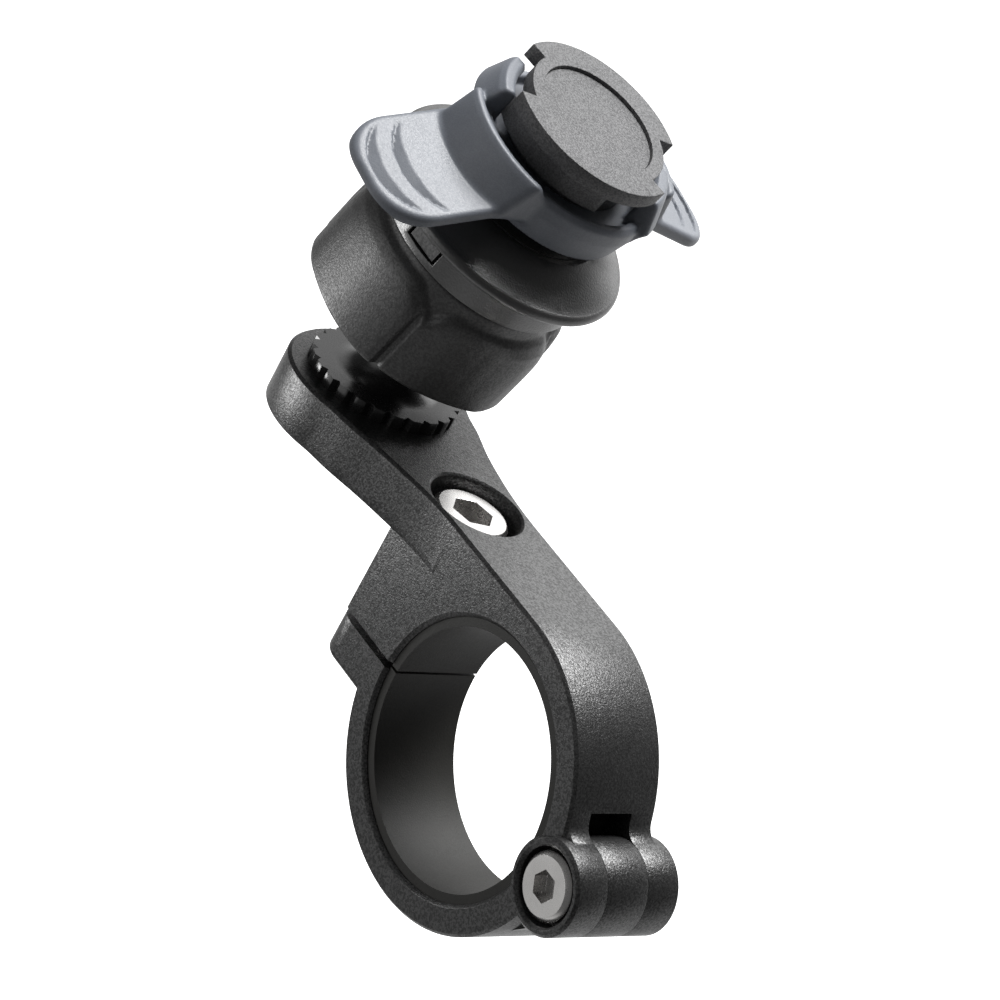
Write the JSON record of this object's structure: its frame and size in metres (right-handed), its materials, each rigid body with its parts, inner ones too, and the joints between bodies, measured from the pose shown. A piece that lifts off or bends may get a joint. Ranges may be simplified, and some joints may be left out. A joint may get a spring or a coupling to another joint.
{
  "type": "bike phone mount",
  "caption": "Handlebar phone mount: a hinged bar clamp, an arm with a ball stud, and a tilting head with a collar knob, a winged locking ring and a bayonet disc.",
  "frame": {"origin": "middle of the clamp's bar bore", "axes": "+Y along the handlebar; +Z square to the arm's flat top, along the clamp bolt and the ball stud; the arm runs towards -X and the hinge is at +X"},
  "size_m": [0.0914, 0.059, 0.0923],
  "materials": {
    "clamp_metal": "bead-blasted, black anodised",
    "stud_metal": "turned, black anodised",
    "liner_rubber": "matt, moulded",
    "bolt_steel": "plain stainless",
    "washer_steel": "plain stainless",
    "spring_steel": "drawn wire",
    "cup_plastic": "smooth acetal",
    "pad_rubber": "matt",
    "black_plastic": "fine satin",
    "head_plastic": "spark-eroded texture",
    "ring_plastic": "fine satin, blue-grey"
  },
  "bodies": {
    "clamp": {"clamp_body": "clamp_metal", "bar_liner_upper": "liner_rubber", "clamp_washer": "washer_steel", "hinge_screw": "bolt_steel", "ball_stud": "stud_metal", "stud_screw": "bolt_steel", "stud_lock_washer": "washer_steel"},
    "jaw": {"clamp_jaw": "clamp_metal", "bar_liner_lower": "liner_rubber"},
    "bolt": {"clamp_bolt": "bolt_steel"},
    "cup": {"ball_cup": "cup_plastic"},
    "pad": {"cup_pad": "pad_rubber"},
    "head": {"socket_body": "black_plastic", "seat_ring": "cup_plastic", "dome_flange": "black_plastic", "bayonet_head": "head_plastic", "head_cap": "head_plastic", "head_screw": "bolt_steel", "lock_spring": "spring_steel"},
    "knob": {"collar_knob": "black_plastic"},
    "ring": {"lock_ring": "ring_plastic"}
  },
  "joints": [
    {"name": "jaw_hinge", "type": "hinge", "parent": "clamp", "child": "jaw", "pos_m": [0.0225, 0, 0], "axis": [0, -1, 0], "range_deg": [0, 95]},
    {"name": "bolt_unscrew", "type": "slide", "parent": "clamp", "child": "bolt", "axis": [0, 0, 1], "range_m": [0, 0.009]},
    {"name": "head_tilt_along", "type": "hinge", "parent": "clamp", "child": "cup", "pos_m": [-0.0475, 0, 0.03485], "axis": [0, 1, 0], "range_deg": [-40, 9]},
    {"name": "head_tilt_across", "type": "hinge", "parent": "cup", "child": "pad", "pos_m": [-0.0475, 0, 0.03485], "axis": [0.9625, 0, -0.2714], "range_deg": [-14, 14]},
    {"name": "head_spin", "type": "hinge", "parent": "pad", "child": "head", "pos_m": [-0.0475, 0, 0.03485], "axis": [0.271, 0.0552, 0.961], "continuous": true},
    {"name": "knob_turn", "type": "hinge", "parent": "head", "child": "knob", "pos_m": [-0.0475, 0, 0.03485], "axis": [0.271, 0.0552, 0.961], "range_deg": [0, 120]},
    {"name": "ring_pull", "type": "slide", "parent": "head", "child": "ring", "axis": [-0.271, -0.0552, -0.961], "range_m": [0, 0.0026], "stiffness_N_per_m": 1200, "springref_m": -0.002, "deforming": ["lock_spring"]}
  ]
}
